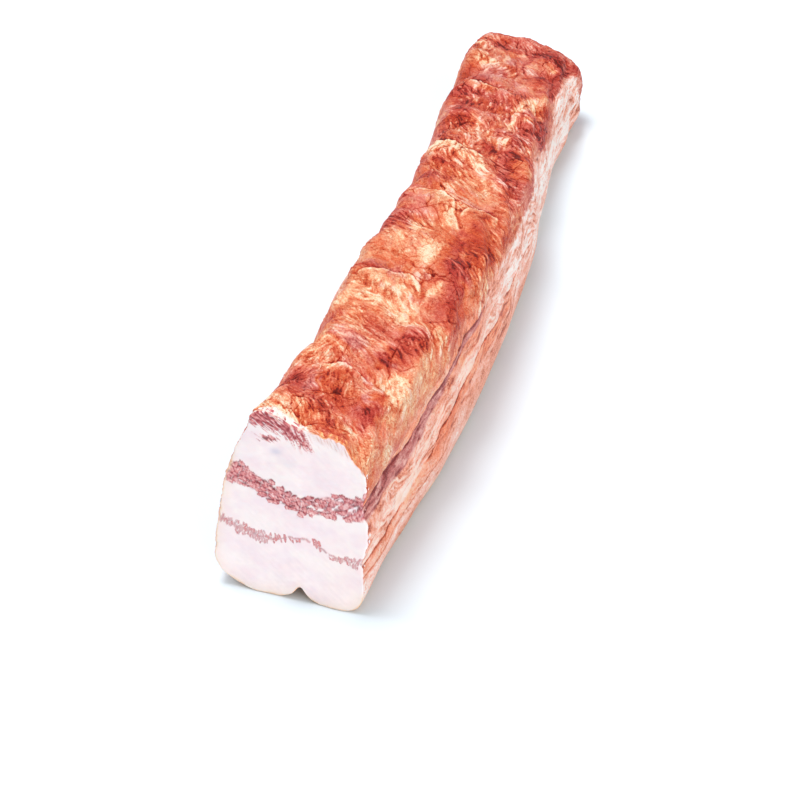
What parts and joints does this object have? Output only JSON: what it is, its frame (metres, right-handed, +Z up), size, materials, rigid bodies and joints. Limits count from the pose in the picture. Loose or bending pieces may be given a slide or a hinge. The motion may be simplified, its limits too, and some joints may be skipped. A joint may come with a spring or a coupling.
{
  "type": "slab of smoked streaky bacon",
  "caption": "Whole slab of smoked streaky bacon lying rind side down, with a fresh flat cut at one end and a browned blunt end at the other.",
  "frame": {"origin": "centre of the footprint's box, on the surface the slab rests on", "axes": "+Z up, +Y along the slab from the fresh cut to the browned end, +X to the right seen from the cut"},
  "size_m": [0.0616, 0.3556, 0.0629],
  "materials": {
    "smoked_pork": "moist satin: browned smoked crust, pink and white on the cut"
  },
  "bodies": {
    "root": {"bacon_slab": "smoked_pork"}
  },
  "joints": []
}
